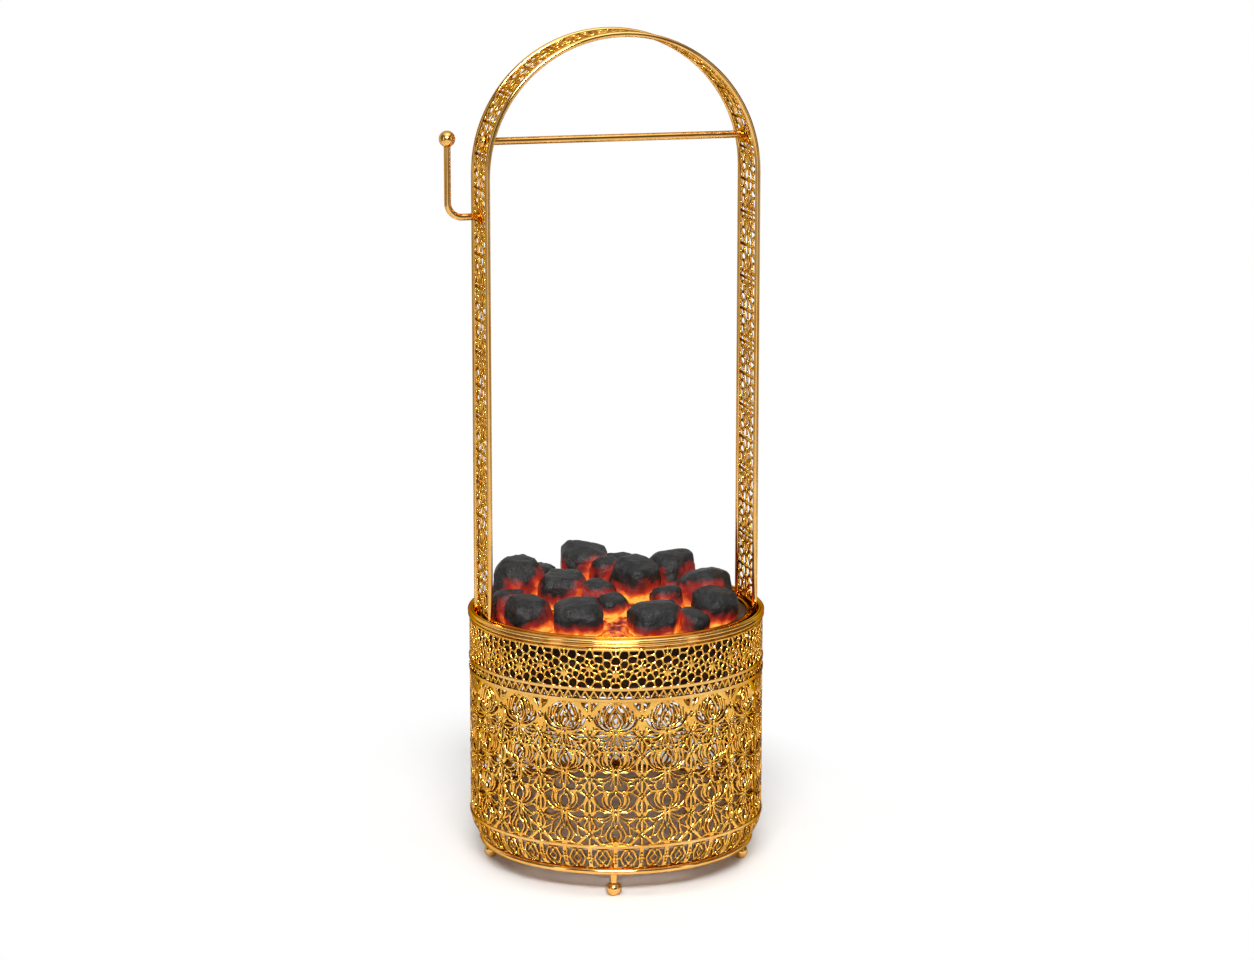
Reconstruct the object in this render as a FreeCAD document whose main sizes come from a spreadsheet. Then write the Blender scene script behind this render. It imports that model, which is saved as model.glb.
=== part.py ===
import FreeCAD, Part
import math
import os
import re

from FreeCAD import Placement, Rotation, Vector
from Sketcher import Constraint

# Standing charcoal basket: pierced wall on four ball feet, arch handle, tong hook,
# and a lift-out pan of glowing charcoal. Millimetres, floor at z = 0, arch in the XZ plane.

SIZES = {
    # feet and base
    "foot_ball_diameter": 9.2,
    "foot_flat_diameter": 3.0,
    "foot_neck_diameter": 4.4,
    "foot_inset": 3.5,
    "foot_turn": -16.5,
    "foot_count": 4,
    "base_height": 14.8,
    "base_ring_wire": 4.0,
    "plate_thickness": 1.2,
    "plate_drop": 2.4,
    # pierced wall
    "wall_radius": 92.0,
    "wall_thickness": 0.8,
    "wall_tuck": 7.0,
    "base_strip_height": 15.7,
    "field_strip_height": 92.4,
    "border_strip_height": 6.8,
    "collar_strip_height": 25.7,
    "seam_hoop_height": 1.6,
    "seam_hoop_thickness": 0.5,
    # ornament
    "lotus_columns": 18,
    "lotus_rows": 3,
    "lotus_turn": -5.6,
    "petal_length": 12.0,
    "petal_width": 3.6,
    "bud_length": 11.0,
    "bud_width": 5.0,
    "border_hole_diameter": 3.2,
    "band_petal_pitch": 15.0,
    # rim and seat
    "rim_bead_width": 3.8,
    "rim_bead_height": 5.4,
    "rim_bead_round": 1.8,
    "rim_overhang": 1.0,
    "seat_thickness": 2.0,
    "seat_width": 13.5,
    "collar_thickness": 1.1,
    "collar_height": 6.2,
    "collar_gap": 1.1,
    # arch handle
    "rail_half_spacing": 17.8,
    "rail_diameter": 3.4,
    "leg_length": 277.7,
    "band_thickness": 1.0,
    "band_foot_gap": 5.0,
    "stud_diameter": 2.6,
    "stud_length": 7.0,
    "nut_flats": 5.0,
    "nut_thickness": 2.2,
    # crossbar
    "crossbar_lift": 21.0,
    "crossbar_diameter": 4.6,
    "crossbar_collar_diameter": 9.5,
    "crossbar_collar_length": 2.0,
    "cap_diameter": 7.5,
    "cap_length": 3.5,
    # tong hook
    "hook_drop": 24.5,
    "hook_reach": 20.0,
    "hook_wire": 4.2,
    "hook_bend_radius": 9.0,
    "hook_upright": 47.8,
    "hook_ball_diameter": 10.0,
    "hook_washer_diameter": 9.0,
    "hook_washer_thickness": 1.0,
    # coal pan and charcoal
    "pan_depth": 36.0,
    "pan_taper": 7.9,
    "pan_sheet": 1.0,
    "pan_lip_wire": 2.4,
    "ember_edge_depth": 31.0,
    "ember_crown": 13.0,
    "lumps_across": 5.39,
    "lump_chamfer": 5.0,
    "lump_dip": 4.0,
    # clearances
    "fit": 0.1,
    "free": 0.3,
    "rail_gap": 0.265,
    "pan_lip_gap": 0.7,
}

# sizes that follow from what each piece stands on or fits into
FITTED = {
    "leg_circle_radius": "wall_radius + rim_overhang - rim_bead_width - rail_gap - rail_diameter / 2",
    "leg_half_span": "sqrt(leg_circle_radius^2 - rail_half_spacing^2)",
    "plate_radius": "wall_radius - wall_thickness - fit - wall_tuck * plate_drop / (2 * base_strip_height)",
    "foot_circle_radius": "wall_radius - wall_tuck - (wall_thickness + base_ring_wire) / 2 - foot_inset",
    "seat_opening_radius": "wall_radius - seat_width",
    "crossbar_rise": "leg_length + crossbar_lift",
    "hook_rise": "leg_length - hook_drop",
    "pan_lip_radius": "leg_half_span - band_thickness / 2 - pan_lip_gap",
    "pan_neck_radius": "seat_opening_radius - 2 * free",
    "pan_floor_radius": "pan_neck_radius - pan_taper",
    "heap_radius": "pan_lip_radius - pan_lip_wire - 3 * free",
    "lump_size": "2 * heap_radius / lumps_across",
}

doc = FreeCAD.newDocument("CharcoalBasket")
sheet = doc.addObject("Spreadsheet::Sheet", "Sizes")
cells = SIZES | {alias: f"={formula}" for alias, formula in FITTED.items()}
for row, (alias, entry) in enumerate(cells.items(), start=1):
    sheet.set(f"A{row}", alias.replace("_", " "))
    sheet.setAlias(f"B{row}", alias)
    sheet.set(f"B{row}", str(entry))
doc.recompute()

# levels and radii that several pieces share, in terms of the sheet
WALL_FOOT = "(base_height + base_ring_wire)"
SEAM_LOW = f"({WALL_FOOT} + base_strip_height)"
SEAM_MID = f"({SEAM_LOW} + field_strip_height)"
SEAM_TOP = f"({SEAM_MID} + border_strip_height)"
SEAT_TOP = f"({SEAM_TOP} + collar_strip_height)"
SPRING = f"({SEAT_TOP} + leg_length)"
PLATE_LOW = f"({SEAM_LOW} - plate_drop)"
RING_RADIUS = "(wall_radius - wall_tuck - wall_thickness / 2)"
BEAD_INNER = "(wall_radius + rim_overhang - rim_bead_width)"
BAND_HALF_WIDTH = "(rail_half_spacing - rail_diameter / 2 - fit / 2)"
BAND_INNER = "(leg_half_span - band_thickness / 2)"
BAND_OUTER = "(leg_half_span + band_thickness / 2)"
BAR_LEVEL = f"({SEAT_TOP} + crossbar_rise)"
HOOK_LEVEL = f"({SEAT_TOP} + hook_rise)"
PAN_FLANGE = f"({SEAT_TOP} + free)"
PAN_FLOOR = f"({SEAT_TOP} - pan_depth)"

# lotus rows: spare height of the field, and the first hub above its foot, in row pitches
LOTUS_MARGIN = 0.685
LOTUS_FOOT = 0.9

X_AXIS = Rotation(Vector(0, 1, 0), 90)
Y_AXIS = Rotation(Vector(1, 0, 0), -90)
UPRIGHT = Rotation()

nodes = {}


def linked(formula):
    """Formula with every size name pointed at its cell."""
    return re.sub(r"[a-z_]+", lambda m: f"Sizes.{m[0]}" if m[0] in cells else m[0], str(formula))


def worth(formula):
    return float(sheet.evalExpression(linked(formula)))


def bind(item, **formulas):
    for name, formula in formulas.items():
        item.setExpression(name, linked(formula))
    return item


def place(item, x=0, y=0, z=0, turn=UPRIGHT):
    item.Placement = Placement(Vector(worth(x), worth(y), worth(z)), turn)
    for axis, formula in (("x", x), ("y", y), ("z", z)):
        item.setExpression(f"Placement.Base.{axis}", linked(formula))
    return item


def node(item, label):
    item.Label = label
    nodes[label] = item
    return item


def solid(kind, name, at=(0, 0, 0), turn=UPRIGHT, **formulas):
    item = bind(doc.addObject(f"Part::{kind}", name), **formulas)
    return place(item, *at, turn=turn)


def cylinder(name, diameter, length, at=(0, 0, 0), turn=UPRIGHT):
    return solid("Cylinder", name, at, turn, Radius=f"({diameter}) / 2", Height=length)


def joined(name, *shapes):
    item = doc.addObject("Part::MultiFuse", name)
    item.Shapes = shapes
    item.Refine = True
    return item


def cut(name, base, *tools):
    item = doc.addObject("Part::Cut", name)
    item.Base = base
    item.Tool = tools[0] if len(tools) == 1 else joined(f"{name}_tools", *tools)
    return item


def common(name, *shapes):
    item = doc.addObject("Part::MultiCommon", name)
    item.Shapes = shapes
    return item


def fixed_shape(name, shape):
    item = doc.addObject("Part::Feature", name)
    item.Shape = shape
    return item


def group(name, *shapes):
    item = doc.addObject("Part::Compound", name)
    item.Links = shapes
    return item


def sketch_in(body, name, role):
    sketch = body.newObject("Sketcher::SketchObject", name)
    plane = next(f for f in body.Origin.OriginFeatures if f.Role == role)
    sketch.AttachmentSupport = [(plane, "")]
    sketch.MapMode = "FlatFace"
    return sketch


def outline(sketch, corners):
    """Closed outline whose corners are pairs of formulas, each tied to the sheet."""
    points = [Vector(worth(x), worth(y), 0) for x, y in corners]
    count = len(points)
    for i, point in enumerate(points):
        sketch.addGeometry(Part.LineSegment(point, points[(i + 1) % count]))
    for i in range(count):
        sketch.addConstraint(Constraint("Coincident", i, 2, (i + 1) % count, 1))
    for i, (x, y) in enumerate(corners):
        for kind, formula, line in (("DistanceX", x, -2), ("DistanceY", y, -1)):
            if worth(formula) == 0:
                sketch.addConstraint(Constraint("PointOnObject", i, 1, line))
                continue
            index = sketch.addConstraint(Constraint(kind, -1, 1, i, 1, worth(formula)))
            sketch.setExpression(f"Constraints[{index}]", linked(formula))


def circles(sketch, diameter, centres):
    for x, y in centres:
        centre = Vector(worth(x), worth(y), 0)
        ring = sketch.addGeometry(Part.Circle(centre, Vector(0, 0, 1), worth(diameter) / 2))
        index = sketch.addConstraint(Constraint("Diameter", ring, worth(diameter)))
        sketch.setExpression(f"Constraints[{index}]", linked(diameter))
        for kind, formula, line in (("DistanceX", x, -2), ("DistanceY", y, -1)):
            if worth(formula) == 0:
                sketch.addConstraint(Constraint("PointOnObject", ring, 3, line))
                continue
            index = sketch.addConstraint(Constraint(kind, -1, 1, ring, 3, worth(formula)))
            sketch.setExpression(f"Constraints[{index}]", linked(formula))


def turned(name, corners):
    """Body turned about the basket axis from an outline of (radius, height) corners."""
    body = doc.addObject("PartDesign::Body", name)
    sketch = sketch_in(body, f"{name}_outline", "XZ_Plane")
    outline(sketch, corners)
    turn = body.newObject("PartDesign::Revolution", f"{name}_turn")
    turn.Profile = sketch
    turn.ReferenceAxis = (sketch, ["V_Axis"])
    turn.Angle = 360
    return body


def sheet_ring(name, outer, inner, low, high):
    return turned(name, [(inner, low), (outer, low), (outer, high), (inner, high)])


def hex_nut(name, at, turn=UPRIGHT):
    block = solid("Prism", f"{name}_block", at, turn,
                  Circumradius="nut_flats / sqrt(3)", Height="nut_thickness")
    bore = cylinder(f"{name}_bore", "stud_diameter + 2 * fit", "nut_thickness", at, turn)
    return cut(name, block, bore)


def petal(length, width, tilt, u, v):
    """Leaf-shaped cutter through a sheet that faces +X; u runs along Y and v along Z."""
    lean = math.radians(tilt)
    along = Vector(0, -math.sin(lean), math.cos(lean)) * (length / 2)
    across = Vector(0, math.cos(lean), math.sin(lean)) * (width / 2)
    middle = Vector(-4, u, v)
    sides = [Part.Arc(middle - along, middle + across, middle + along),
             Part.Arc(middle + along, middle - across, middle - along)]
    return Part.Face(Part.Wire([side.toShape() for side in sides])).extrude(Vector(8, 0, 0))


def round_hole(diameter, u, v):
    return Part.makeCylinder(diameter / 2, 8, Vector(-4, u, v), Vector(1, 0, 0))


def around(cutters, columns):
    """Copies of the cutters of one column, spaced evenly about the basket axis."""
    radius = worth("wall_radius")
    copies = []
    for column in range(columns):
        for cutter in cutters:
            copy = cutter.translated(Vector(radius, 0, 0))
            copy.rotate(Vector(), Vector(0, 0, 1), worth("lotus_turn") + column * 360 / columns)
            copies.append(copy)
    return Part.makeCompound(copies)


def pierced_strip(label, blank, cutters, columns):
    tool = fixed_shape(f"{label}_openings", around(cutters, columns))
    return node(cut(f"{label}_pierced", blank, tool), label)


def make_feet():
    ball_radius = "(foot_ball_diameter / 2)"
    middle = f"sqrt({ball_radius}^2 - (foot_flat_diameter / 2)^2)"
    neck_top = PLATE_LOW
    names = ("front", "right", "rear", "left")
    nuts = []
    for index in range(round(worth("foot_count"))):
        angle = f"((foot_turn - 90 + {index} * 360 / foot_count) * 1 deg)"
        x, y = f"foot_circle_radius * cos({angle})", f"foot_circle_radius * sin({angle})"
        label = f"foot_{names[index] if index < len(names) else index + 1}"
        ball = solid("Sphere", f"{label}_ball", (x, y, middle), Radius=ball_radius,
                     Angle1="-acos(foot_flat_diameter / foot_ball_diameter)")
        neck = cylinder(f"{label}_neck", "foot_neck_diameter", f"{neck_top} - {middle}", (x, y, middle))
        stud = cylinder(f"{label}_stud", "stud_diameter", "stud_length - nut_thickness",
                        (x, y, neck_top))
        node(joined(f"{label}_fused", ball, neck, stud), label)
        nuts.append(hex_nut(f"{label}_nut", (x, y, f"{PLATE_LOW} + plate_thickness")))
    node(group("foot_nut_set", *nuts), "foot_nuts")


def make_base():
    ring = solid("Torus", "base_wire", (0, 0, "base_height + base_ring_wire / 2"),
                 Radius1=RING_RADIUS, Radius2="base_ring_wire / 2")
    node(ring, "base_ring")
    body = doc.addObject("PartDesign::Body", "plate_body")
    disc = sketch_in(body, "plate_disc", "XY_Plane")
    circles(disc, "2 * plate_radius", [(0, 0)])
    pad = body.newObject("PartDesign::Pad", "plate_pad")
    pad.Profile = disc
    bind(pad, Length="plate_thickness")
    doc.recompute()
    drill = sketch_in(body, "plate_drill", "XY_Plane")
    angle = "((foot_turn - 90) * 1 deg)"
    circles(drill, "stud_diameter + 2 * fit",
            [(f"foot_circle_radius * cos({angle})", f"foot_circle_radius * sin({angle})")])
    hole = body.newObject("PartDesign::Pocket", "plate_hole")
    hole.Profile = drill
    hole.Type = "ThroughAll"
    hole.Midplane = True
    repeat = body.newObject("PartDesign::PolarPattern", "plate_holes")
    repeat.Originals = [hole]
    repeat.Axis = (drill, ["N_Axis"])
    repeat.Angle = 360
    bind(repeat, Occurrences="foot_count")
    body.Tip = repeat
    node(place(body, z=PLATE_LOW), "bottom_plate")


def make_wall():
    inner = "(wall_radius - wall_thickness)"
    low_inner = f"({RING_RADIUS} - wall_thickness / 2)"
    low_outer = f"({RING_RADIUS} + wall_thickness / 2)"
    columns = round(worth("lotus_columns"))
    step = 2 * math.pi * worth("wall_radius") / columns
    length, width = worth("petal_length"), worth("petal_width")

    waist = f"(({WALL_FOOT} + {SEAM_LOW}) / 2)"
    blank = turned("base_strip", [(low_inner, WALL_FOOT), (low_outer, WALL_FOOT),
                                  ("wall_radius - wall_tuck / 4", waist), ("wall_radius", SEAM_LOW),
                                  (inner, SEAM_LOW), (f"{inner} - wall_tuck / 4", waist)])
    level = worth(waist)
    tall = worth("base_strip_height") * 0.6
    uprights = [petal(tall, width, 0, share * step, level) for share in (-0.25, 0.25)]
    pierced_strip("wall_base", blank, uprights, columns)

    blank = sheet_ring("field_strip", "wall_radius", inner, SEAM_LOW, SEAM_MID)
    rows = round(worth("lotus_rows"))
    pitch = worth("field_strip_height") / (rows + LOTUS_MARGIN)
    lotus = []
    for row in range(rows):
        level = worth(SEAM_LOW) + (row + LOTUS_FOOT) * pitch
        lotus.append(petal(worth("bud_length"), worth("bud_width"), 0, 0, level + 0.12 * pitch))
        for side in (-1, 1):
            lotus.append(petal(length, width, -35 * side, 0.2 * step * side, level + 0.08 * pitch))
            lotus.append(petal(length, width, -72 * side, 0.22 * step * side, level - 0.28 * pitch))
    pierced_strip("wall_field", blank, lotus, columns)

    blank = sheet_ring("border_strip", "wall_radius", inner, SEAM_MID, SEAM_TOP)
    level = (worth(SEAM_MID) + worth(SEAM_TOP)) / 2
    dots = [round_hole(worth("border_hole_diameter"), share * step, level) for share in (-0.25, 0.25)]
    pierced_strip("wall_border", blank, dots, columns)

    blank = sheet_ring("collar_strip", "wall_radius", inner, SEAM_TOP, SEAT_TOP)
    level = worth(SEAM_TOP) + 0.5 * worth("collar_strip_height")
    rosette = [petal(length, width, 0, 0, level)]
    for side in (-1, 1):
        rosette.append(petal(length, width, -38 * side, 0.27 * step * side, level))
    pierced_strip("wall_collar", blank, rosette, columns)

    for label, seam in (("seam_hoop_lower", SEAM_LOW), ("seam_hoop_middle", SEAM_MID),
                        ("seam_hoop_upper", SEAM_TOP)):
        half = "seam_hoop_height / 2"
        node(sheet_ring(f"{label}_ring", "wall_radius + seam_hoop_thickness", "wall_radius",
                        f"{seam} - {half}", f"{seam} + {half}"), label)


def make_rim():
    outer = "(wall_radius + rim_overhang)"
    top = f"({SEAT_TOP} + rim_bead_height)"
    body = sheet_ring("rim_body", outer, BEAD_INNER, SEAT_TOP, top)
    doc.recompute()
    plain = body.Tip
    circular = [f"Edge{i}" for i, edge in enumerate(plain.Shape.Edges, start=1) if len(edge.Vertexes) == 1]
    rounding = body.newObject("PartDesign::Fillet", "rim_rounding")
    rounding.Base = (plain, circular)
    bind(rounding, Radius="min(rim_bead_round; 0.48 * rim_bead_width; 0.48 * rim_bead_height)")
    node(body, "rim_bead")

    body = doc.addObject("PartDesign::Body", "seat_body")
    flat = sketch_in(body, "seat_flat", "XY_Plane")
    circles(flat, "2 * (wall_radius - wall_thickness - fit)", [(0, 0)])
    circles(flat, "2 * seat_opening_radius", [(0, 0)])
    pad = body.newObject("PartDesign::Pad", "seat_pad")
    pad.Profile = flat
    bind(pad, Length="seat_thickness")
    doc.recompute()
    drill = sketch_in(body, "seat_drill", "XY_Plane")
    circles(drill, "stud_diameter + 2 * fit",
            [(f"{x} * leg_half_span", f"{y} * rail_half_spacing") for x in (-1, 1) for y in (-1, 1)])
    holes = body.newObject("PartDesign::Pocket", "seat_holes")
    holes.Profile = drill
    holes.Type = "ThroughAll"
    holes.Midplane = True
    node(place(body, z=f"{SEAT_TOP} - seat_thickness"), "seat_ring")

    outer = f"({BEAD_INNER} - collar_gap)"
    ring = sheet_ring("collar_ring", outer, f"({outer} - collar_thickness)",
                      SEAT_TOP, f"{SEAT_TOP} + collar_height")
    depth = "(2 * rail_half_spacing + rail_diameter + 4 * fit)"
    length = f"(2 * {outer} + 10)"
    gap = solid("Box", "collar_gap", (f"-{length} / 2", f"-{depth} / 2", SEAT_TOP),
                Length=length, Width=depth, Height="collar_height")
    node(cut("collar_arcs", ring, gap), "rim_collar")


def arch_form(name, radius, half_depth, foot):
    """Solid arch: a block up to the spring line with a half disc on top."""
    block = solid("Box", f"{name}_block", (f"-{radius}", f"-{half_depth}", foot),
                  Length=f"2 * {radius}", Width=f"2 * {half_depth}", Height=f"{SPRING} - {foot}")
    disc = solid("Cylinder", f"{name}_disc", (0, f"-{half_depth}", SPRING), Y_AXIS,
                 Radius=radius, Height=f"2 * {half_depth}")
    return joined(name, block, disc)


def band_cutters():
    """Pairs of leaf openings up one leg, over the arch and down the other leg."""
    half, reach = worth("leg_half_span"), worth(BAND_HALF_WIDTH)
    foot, spring = worth(f"{SEAT_TOP} + band_foot_gap"), worth(SPRING)
    straight = spring - foot
    total = 2 * straight + math.pi * half
    count = round(total / worth("band_petal_pitch"))
    length, width = worth("petal_length"), worth("petal_width")
    keep_out = [(worth(BAR_LEVEL) - spring) + straight, worth(HOOK_LEVEL) - foot]
    copies = []
    for index in range(count):
        run = (index + 0.5) * total / count
        if min(abs(min(run, total - run) - stop) for stop in keep_out) < length:
            continue
        for side in (-1, 1):
            cutter = petal(length, width, -40 * side, 0.5 * reach * side, 0)
            if run < straight:
                cutter.translate(Vector(half, 0, foot + run))
            elif run > total - straight:
                cutter.translate(Vector(half, 0, foot + total - run))
                cutter.rotate(Vector(), Vector(0, 0, 1), 180)
            else:
                cutter.translate(Vector(half, 0, 0))
                cutter.rotate(Vector(), Vector(0, 1, 0), -math.degrees((run - straight) / half))
                cutter.translate(Vector(0, 0, spring))
            copies.append(cutter)
    return Part.makeCompound(copies)


def make_arch():
    for label, side in (("arch_front_rail", -1), ("arch_rear_rail", 1)):
        y = f"{side} * rail_half_spacing"
        bow = solid("Torus", f"{label}_bow", (0, y, SPRING), Rotation(Vector(1, 0, 0), 90),
                    Radius1="leg_half_span", Radius2="rail_diameter / 2")
        bow.Angle3 = 180
        pieces = [bow]
        for end in (-1, 1):
            x = f"{end} * leg_half_span"
            pieces.append(cylinder(f"{label}_leg", "rail_diameter", "leg_length", (x, y, SEAT_TOP)))
            pieces.append(cylinder(f"{label}_stud", "stud_diameter", "stud_length + free",
                                   (x, y, f"{SEAT_TOP} - stud_length")))
        node(joined(f"{label}_fused", *pieces), label)

    nuts = [hex_nut("arch_nut", (f"{x} * leg_half_span", f"{y} * rail_half_spacing",
                                 f"{SEAT_TOP} - seat_thickness - nut_thickness"))
            for x in (-1, 1) for y in (-1, 1)]
    node(group("arch_nut_set", *nuts), "arch_nuts")

    foot = f"({SEAT_TOP} + band_foot_gap)"
    shell = cut("band_shell", arch_form("band_outside", BAND_OUTER, BAND_HALF_WIDTH, foot),
                arch_form("band_inside", BAND_INNER, f"({BAND_HALF_WIDTH} + 1)", f"({foot} - 1)"))
    openings = fixed_shape("band_openings", band_cutters())
    bar_bore = cylinder("band_bar_bore", "stud_diameter + 2 * fit", f"2 * {BAND_OUTER} + 20",
                        (f"-{BAND_OUTER} - 10", 0, BAR_LEVEL), X_AXIS)
    hook_bore = cylinder("band_hook_bore", "stud_diameter + 2 * fit", "10 * band_thickness",
                         ("-leg_half_span - 5 * band_thickness", 0, HOOK_LEVEL), X_AXIS)
    node(cut("band_pierced", shell, openings, bar_bore, hook_bore), "arch_band")


def make_crossbar():
    """Rod whose ends are coped to the arch, with a collar inside and a cap nut outside."""
    deep = "crossbar_collar_diameter"
    inside = solid("Cylinder", "bar_inside", (0, f"-{deep}", SPRING), Y_AXIS,
                   Radius=f"{BAND_INNER} - fit", Height=f"2 * {deep}")
    outside = solid("Cylinder", "bar_outside", (0, f"-{deep}", SPRING), Y_AXIS,
                    Radius=f"{BAND_OUTER} + fit", Height=f"2 * {deep}")
    span = f"(sqrt({BAND_INNER}^2 - ({BAR_LEVEL} - {SPRING})^2))"
    rod = cylinder("bar_rod", "crossbar_diameter", f"2 * {BAND_OUTER}",
                   (f"-{BAND_OUTER}", 0, BAR_LEVEL), X_AXIS)
    tip = f"({span} + band_thickness + 0.7 * cap_length)"
    stud = cylinder("bar_stud", "stud_diameter", f"2 * {tip}", (f"-{tip}", 0, BAR_LEVEL), X_AXIS)
    node(joined("bar_fused", common("bar_coped", rod, inside), stud), "crossbar")

    for side, word in ((-1, "left"), (1, "right")):
        start = f"{span} - crossbar_collar_length"
        ring = cylinder(f"bar_ring_{word}", "crossbar_collar_diameter", f"{BAND_OUTER} - ({start})",
                        (f"{side} * ({start})", 0, BAR_LEVEL), Rotation(Vector(0, 1, 0), 90 * side))
        bore = cylinder(f"bar_ring_bore_{word}", "crossbar_diameter + 2 * fit", "2 * leg_half_span",
                        (f"{side} * leg_half_span / 2", 0, BAR_LEVEL),
                        Rotation(Vector(0, 1, 0), 90 * side))
        node(cut(f"bar_collar_{word}", common(f"bar_coped_ring_{word}", ring, inside), bore),
             f"crossbar_collar_{word}")
        dome = solid("Ellipsoid", f"bar_dome_{word}",
                     (f"{side} * ({span} + band_thickness)", 0, BAR_LEVEL), X_AXIS,
                     Radius1="cap_length", Radius2="cap_diameter / 2")
        dome.Angle1 = -90
        dome.Angle2 = 90
        node(cut(f"bar_cap_{word}", dome, outside,
                 cylinder(f"bar_cap_bore_{word}", "stud_diameter + 2 * fit", f"2 * ({tip} + fit)",
                          (f"-({tip} + fit)", 0, BAR_LEVEL), X_AXIS)),
             f"crossbar_cap_{word}")


def make_hook():
    face = f"(-{BAND_OUTER})"
    start = f"({face} - hook_washer_thickness)"
    elbow = f"({face} - hook_reach + hook_bend_radius)"
    upright = f"({face} - hook_reach)"
    stud = cylinder("hook_stud", "stud_diameter", f"-({start}) - {BAND_INNER} + nut_thickness + 1",
                    (start, 0, HOOK_LEVEL), X_AXIS)
    arm = cylinder("hook_arm", "hook_wire", f"{start} - {elbow}", (elbow, 0, HOOK_LEVEL), X_AXIS)
    bend = solid("Torus", "hook_bend", (elbow, 0, f"{HOOK_LEVEL} + hook_bend_radius"),
                 Rotation(Vector(0, 1, 0), -180).multiply(Rotation(Vector(1, 0, 0), 90)),
                 Radius1="hook_bend_radius", Radius2="hook_wire / 2")
    bend.Angle3 = 90
    rise = "(hook_upright - hook_bend_radius - hook_ball_diameter / 2 + free)"
    post = cylinder("hook_post", "hook_wire", rise,
                    (upright, 0, f"{HOOK_LEVEL} + hook_bend_radius"))
    node(joined("hook_fused", stud, arm, bend, post), "hook_rod")
    ball = solid("Sphere", "hook_knob", (upright, 0, f"{HOOK_LEVEL} + hook_upright"),
                 Radius="hook_ball_diameter / 2")
    socket = cylinder("hook_knob_socket", "hook_wire + 2 * fit", f"{rise} + fit",
                      (upright, 0, f"{HOOK_LEVEL} + hook_bend_radius"))
    node(cut("hook_knob_bored", ball, socket), "hook_ball")
    plate = cylinder("hook_plate", "hook_washer_diameter", "hook_washer_thickness",
                     (start, 0, HOOK_LEVEL), X_AXIS)
    bore = cylinder("hook_plate_bore", "stud_diameter + 2 * fit", "hook_washer_thickness",
                    (start, 0, HOOK_LEVEL), X_AXIS)
    node(cut("hook_plate_bored", plate, bore), "hook_washer")
    node(hex_nut("hook_nut_cut", (f"-{BAND_INNER}", 0, HOOK_LEVEL), X_AXIS), "hook_nut")


def make_pan():
    top = f"({PAN_FLANGE} + pan_sheet)"
    node(turned("pan_body", [(0, PAN_FLOOR), ("pan_floor_radius", PAN_FLOOR),
                             ("pan_neck_radius", PAN_FLANGE), ("pan_lip_radius", PAN_FLANGE),
                             ("pan_lip_radius", top), ("pan_neck_radius - pan_sheet", top),
                             ("pan_floor_radius - pan_sheet", f"{PAN_FLOOR} + pan_sheet"),
                             (0, f"{PAN_FLOOR} + pan_sheet")]), "coal_pan")
    ring = solid("Torus", "pan_wire", (0, 0, f"{top} + pan_lip_wire / 2"),
                 Radius1="pan_lip_radius - pan_lip_wire / 2", Radius2="pan_lip_wire / 2")
    node(ring, "pan_lip_ring")


# lumps of charcoal: distance from the axis as a share of the heap, direction in degrees,
# height of the top above the seat in lump sizes, share of the full lump size, yaw, tilt
LUMPS = [
    (0.90, 158, 1.10, 1.00, 20, 10), (0.77, 98, 1.13, 1.00, -12, 12),
    (0.85, 38, 1.03, 0.90, 25, -10), (0.33, 32, 1.03, 1.00, 35, 14),
    (0.51, 168, 0.87, 1.00, -28, 10), (0.83, -5, 0.87, 1.03, 40, -14),
    (0.88, -82, 0.67, 1.03, 5, -8), (0.88, -129, 0.67, 1.03, -15, 10),
    (0.97, -160, 0.63, 1.00, 15, 8), (0.98, -33, 0.67, 0.93, 30, 12),
    (0.20, -146, 0.73, 0.80, 45, 20), (0.43, 84, 0.93, 0.63, 12, 16),
    (0.99, 16, 0.70, 0.73, -20, -12), (0.97, 178, 0.63, 0.73, 0, -10),
    (0.35, -109, 0.57, 0.67, 20, 18), (0.43, -27, 0.63, 0.63, 15, -16),
    (0.98, -60, 0.47, 0.73, 50, 14), (0.95, 128, 0.77, 0.87, 50, -10),
    (0.97, 70, 0.73, 0.87, 5, 12), (0.62, 62, 0.67, 0.70, 30, 8),
    (0.60, -58, 0.43, 0.70, 10, 12), (0.60, -152, 0.43, 0.70, 25, -12),
]


def lump(size, height, yaw, tilt):
    """Block of charcoal with all its edges broken, standing askew."""
    box = Part.makeBox(size, size * 0.92, height)
    block = box.makeChamfer(worth("lump_chamfer / lump_size") * size, box.Edges)
    block.translate(Vector(-size / 2, -size * 0.46, -height))
    block.rotate(Vector(), Vector(1, 0, 0), tilt)
    block.rotate(Vector(), Vector(0, 0, 1), yaw)
    return block


def grown(shape, margin):
    """Copy that is larger by about the margin on every side, about its own middle."""
    box = shape.BoundBox
    copy = shape.copy()
    copy.translate(box.Center * -1)
    copy.scale(1 + 2 * margin / min(box.XLength, box.YLength, box.ZLength), Vector())
    copy.translate(box.Center)
    return copy


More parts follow.
